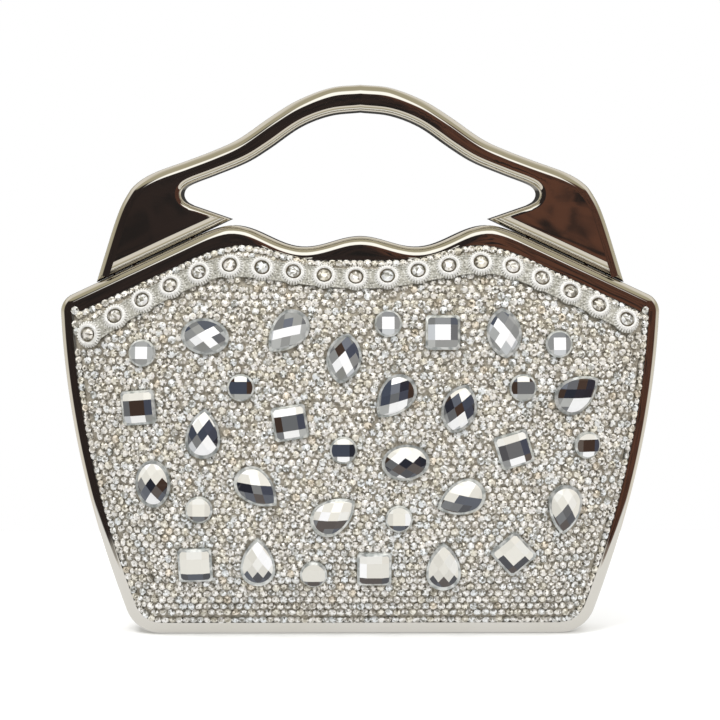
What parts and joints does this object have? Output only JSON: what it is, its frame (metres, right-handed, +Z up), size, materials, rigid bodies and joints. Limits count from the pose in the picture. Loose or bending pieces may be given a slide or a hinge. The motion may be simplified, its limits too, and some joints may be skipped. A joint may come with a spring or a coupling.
{
  "type": "clutch bag",
  "caption": "Rigid evening clutch bag: two domed, stone-covered halves in a mirror metal frame, hinged along the base, with an arched hand opening on top.",
  "frame": {"origin": "middle of the base, on the seam of the two halves, at the height of the surface the bag stands on", "axes": "+X along the base to the right as seen from the front, +Y to the back, through the seam, +Z up to the handle; the front faces -Y"},
  "size_m": [0.222, 0.0538, 0.2046],
  "materials": {
    "mirror_nickel": "mirror-polished nickel plate with a faint warm tone",
    "stone_skin": "rows of small faceted foil-backed stones with large clear cut stones set among them",
    "shell_board": "matte moulded shell",
    "lining": "smooth woven lining",
    "trim_lace": "silver metallic lace with stone rosettes",
    "hinge_steel": "plain bright steel",
    "magnet": "nickel-plated magnet"
  },
  "bodies": {
    "back_half": {"back_frame": "mirror_nickel", "back_stone_skin": "stone_skin", "back_board": "shell_board", "back_lining": "lining", "back_trim_band": "trim_lace", "handle_front_shell": "mirror_nickel", "handle_back_shell": "mirror_nickel", "handle_screw_1": "hinge_steel", "handle_screw_2": "hinge_steel", "handle_screw_3": "hinge_steel", "handle_screw_4": "hinge_steel", "left_back_hinge_leaf": "hinge_steel", "right_back_hinge_leaf": "hinge_steel", "left_hinge_pin": "hinge_steel", "right_hinge_pin": "hinge_steel", "back_hinge_rivet_1": "hinge_steel", "back_hinge_rivet_2": "hinge_steel", "back_hinge_rivet_3": "hinge_steel", "back_hinge_rivet_4": "hinge_steel", "back_magnet_1": "magnet", "back_magnet_2": "magnet", "back_magnet_cup_1": "hinge_steel", "back_magnet_cup_2": "hinge_steel"},
    "front_half": {"front_frame": "mirror_nickel", "front_stone_skin": "stone_skin", "front_board": "shell_board", "front_lining": "lining", "front_trim_band": "trim_lace", "left_front_hinge_leaf": "hinge_steel", "right_front_hinge_leaf": "hinge_steel", "front_hinge_rivet_1": "hinge_steel", "front_hinge_rivet_2": "hinge_steel", "front_hinge_rivet_3": "hinge_steel", "front_hinge_rivet_4": "hinge_steel", "front_magnet_1": "magnet", "front_magnet_2": "magnet", "front_magnet_cup_1": "hinge_steel", "front_magnet_cup_2": "hinge_steel"}
  },
  "joints": [
    {"name": "front_half_opening", "type": "hinge", "parent": "back_half", "child": "front_half", "pos_m": [0, 0, 0.0018], "axis": [1, 0, 0], "range_deg": [0, 68]}
  ]
}
